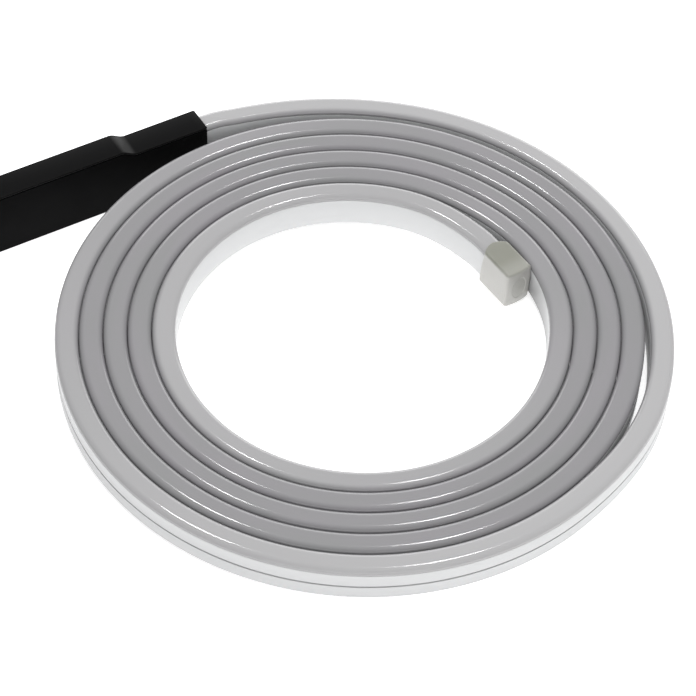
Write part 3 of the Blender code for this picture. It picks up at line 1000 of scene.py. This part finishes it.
frosted = moulded_finish(
    "frosted_silicone",
    light=(0.43, 0.425, 0.405),
    dark=(0.41, 0.405, 0.385),
    roughness=0.34,
    spark=1800.0,
    depth=0.03 * MM,
    # The third colour is the cap's painted shade.
    tinted=(0.222, 0.224, 0.192),
    Subsurface_Weight=0.2,
    Subsurface_Radius=(3 * MM, 3 * MM, 3 * MM),
    Subsurface_Scale=1.0,
)
satin_black = moulded_finish(
    "satin_black",
    light=(0.0034, 0.0034, 0.0036),
    dark=(0.0026, 0.0026, 0.0028),
    roughness=0.45,
    spark=2200.0,
    depth=0.03 * MM,
    Specular_IOR_Level=0.02,
)
# The lid's two tones are a little lighter than the tray's: painted light on the top of the same black
# plastic.
lid_black = moulded_finish(
    "satin_black_lid",
    light=(0.0040, 0.0040, 0.0042),
    dark=(0.0032, 0.0032, 0.0034),
    roughness=0.33,
    spark=2200.0,
    depth=0.02 * MM,
    Specular_IOR_Level=0.06,
)
black_rubber = moulded_finish(
    "black_rubber",
    light=(0.014, 0.014, 0.014),
    dark=(0.010, 0.010, 0.010),
    roughness=0.68,
    spark=1500.0,
    depth=0.05 * MM,
    Specular_IOR_Level=0.4,
)
end_cap.data.materials.append(frosted)
housing_body.data.materials.append(satin_black)
housing_lid.data.materials.append(lid_black)
power_gland.data.materials.append(black_rubber)

# %% [markdown]
# ## Each piece on the model's body
#
# The part has no joints, so every piece rides on its one body. Each fine piece takes the place of
# the solid that it was made over.

# %% Ride and replace
for piece, node, slot in (
    (jacket, "jacket", "jacket"),
    (diffuser, "diffuser", "diffuser"),
    (end_cap, "end_cap", "end_cap"),
    (housing_body, "housing_body", "housing"),
    (housing_lid, "housing_lid", "housing"),
    (power_gland, "power_gland", "gland"),
):
    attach(piece, "root")
    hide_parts(node)
print("pieces placed")

# %% [markdown]
# ## Floor and light
#
# The photograph's ground is pure white. The floor here is white paper that glows a little, so that
# it stays white round the coil and still takes a trace of shadow.

# %% Floor
FLOOR_REACH = 4.0
FLOOR_DROP = 0.1 * MM
FLOOR_GLOW = 0.6
PAPER_GRAIN = 30.0
floor_mesh = bpy.data.meshes.new("floor")
corners = ((-1, -1), (1, -1), (1, 1), (-1, 1))
floor_points = [(x * FLOOR_REACH, y * FLOOR_REACH, -FLOOR_DROP) for x, y in corners]
floor_mesh.from_pydata(floor_points, [], [(0, 1, 2, 3)])
floor = bpy.data.objects.new("floor", floor_mesh)
bpy.context.scene.collection.objects.link(floor)
paper, paper_wire, paper_shader = new_finish(
    "white_paper",
    Roughness=0.9,
    Specular_IOR_Level=0.1,
    Emission_Color=(1.0, 1.0, 1.0, 1.0),
    Emission_Strength=FLOOR_GLOW,
)
paper_place = paper_wire.node("TexCoord", None, None, "Object")
paper_share = grain(paper_wire, paper_place, PAPER_GRAIN)
paper_tone = mixed(paper_wire, paper_share, (0.93, 0.93, 0.93), (0.90, 0.90, 0.90))
feed(paper_shader, paper_tone, "Base Color")
floor_mesh.materials.append(paper)
print("floor reaches in metres:", FLOOR_REACH)

# %% [markdown]
# ## Light
#
# Soft lights, as in a product studio. Two small lamps, far off behind, draw the streaks on the
# shoulders of the turns. A ceiling light with no highlight of its own lights the tops, a tall card
# at the back gives far edges their light rims, and a weak fill in front lifts the walls. A picture
# of a studio could light the coil too, but named lights can be moved one at a time.

# %% Lights
COIL_MIDDLE = Vector((0.0, 0.0, 20 * MM))
SKY = 0.42


def soft_light(name, at, size, watts, mirrored=True):
    """A rectangular light facing the coil's middle, placed against the coil's plane.

    Where it isn't mirrored, it lights surfaces but makes no highlight on them.
    """
    data = bpy.data.lights.new(name, "AREA")
    data.shape = "RECTANGLE"
    data.size, data.size_y = size
    data.energy = watts
    lamp = bpy.data.objects.new(name, data)
    lamp.location = coil_plane @ Vector(at)
    lamp.rotation_mode = "QUATERNION"
    lamp.rotation_quaternion = (lamp.location - COIL_MIDDLE).to_track_quat("Z", "Y")
    lamp.visible_glossy = mirrored
    bpy.context.scene.collection.objects.link(lamp)
    print(name, "watts:", watts)


soft_light("left_lamp", at=(-0.56, 1.43, 3.14), size=(0.28, 0.28), watts=10.5)
soft_light("right_lamp", at=(0.36, 1.43, 3.17), size=(0.28, 0.28), watts=10.5)
soft_light("ceiling", at=(0.0, 0.0, 1.8), size=(1.2, 1.2), watts=24.0, mirrored=False)
soft_light("back_card", at=(0.0, 2.6, 0.7), size=(3.0, 1.4), watts=28.0)
soft_light("front_fill", at=(0.0, -2.0, 1.0), size=(2.0, 1.0), watts=7.0)
world = bpy.data.worlds.new("studio")
world.use_nodes = True
background = world.node_tree.nodes["Background"]
background.inputs["Color"].default_value = (1.0, 1.0, 1.0, 1.0)
background.inputs["Strength"].default_value = SKY
bpy.context.scene.world = world
bpy.context.scene.view_settings.view_transform = "Standard"
